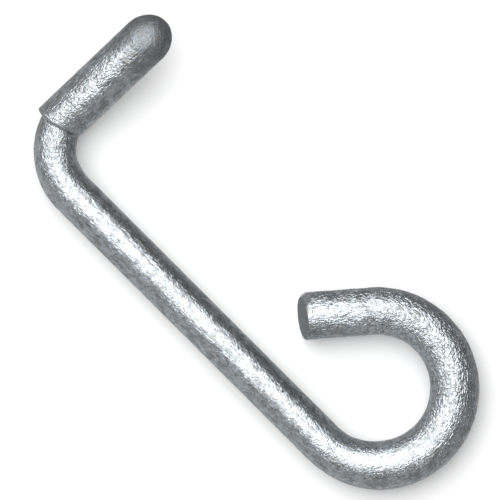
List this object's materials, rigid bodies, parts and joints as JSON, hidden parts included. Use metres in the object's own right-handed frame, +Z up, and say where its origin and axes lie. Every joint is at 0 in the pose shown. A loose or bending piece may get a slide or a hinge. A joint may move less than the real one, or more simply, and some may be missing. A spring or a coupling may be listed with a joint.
{
  "type": "pigtail hook",
  "caption": "Galvanised round-bar hook: straight shank, open eye curled at one end and a thicker blunt-nosed arm turned up at the other.",
  "frame": {"origin": "centre of the open eye, at the middle of the bar's thickness", "axes": "+X along the shank from the arm towards the eye, +Y from the shank towards the arm's tip, +Z up with the hook lying flat"},
  "size_m": [0.144, 0.0558, 0.0218],
  "materials": {
    "galvanised_steel": "hot-dip zinc coat, blue-grey, satin with a fine rough sparkle"
  },
  "bodies": {
    "root": {"hook": "galvanised_steel"}
  },
  "joints": []
}
